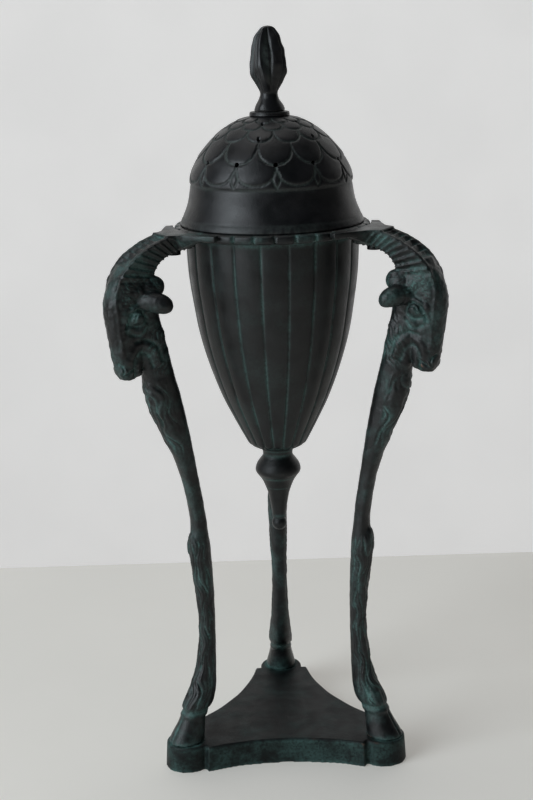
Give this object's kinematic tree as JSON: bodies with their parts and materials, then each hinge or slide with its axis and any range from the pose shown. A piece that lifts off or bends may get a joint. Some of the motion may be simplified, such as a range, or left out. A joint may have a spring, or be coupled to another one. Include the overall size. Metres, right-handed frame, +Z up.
{
  "type": "incense burner",
  "caption": "Tripod incense burner: goat-headed legs on a lobed plinth carry a collar that holds a fluted urn with an ash liner and a pierced domed lid.",
  "frame": {"origin": "on the floor under the urn's axis, the centre of the plinth's underside", "axes": "+Z up along the urn's axis; the rear leg stands on +Y, so -Y is the front with a leg on either side of it"},
  "size_m": [0.1279, 0.1124, 0.292],
  "materials": {
    "patinated_bronze": "dark brown-black patina, satin, blue-green verdigris in the hollows",
    "brass_liner": "dull heat-stained brass sheet",
    "steel_fastener": "dull zinc-plated steel"
  },
  "bodies": {
    "stand": {"base_plinth": "patinated_bronze", "leg_front_left": "patinated_bronze", "leg_front_right": "patinated_bronze", "leg_rear": "patinated_bronze", "foot_screws": "steel_fastener", "foot_washers": "steel_fastener", "collar_ring": "patinated_bronze", "collar_screws": "steel_fastener"},
    "urn": {"urn_bowl": "patinated_bronze", "urn_drop": "patinated_bronze", "drop_stud": "steel_fastener", "drop_washer": "steel_fastener", "drop_nut": "steel_fastener"},
    "liner": {"ash_liner": "brass_liner"},
    "lid": {"lid_dome": "patinated_bronze", "finial_collar": "patinated_bronze", "finial_bud": "patinated_bronze", "finial_stud": "steel_fastener", "finial_washer": "steel_fastener", "finial_nut": "steel_fastener"}
  },
  "joints": [
    {"name": "urn_lift", "type": "slide", "parent": "stand", "child": "urn", "axis": [0, 0, 1], "range_m": [0, 0.13]},
    {"name": "liner_lift", "type": "slide", "parent": "urn", "child": "liner", "axis": [0, 0, 1], "range_m": [0, 0.05]},
    {"name": "lid_lift", "type": "slide", "parent": "liner", "child": "lid", "axis": [0, 0, 1], "range_m": [0, 0.08]}
  ]
}
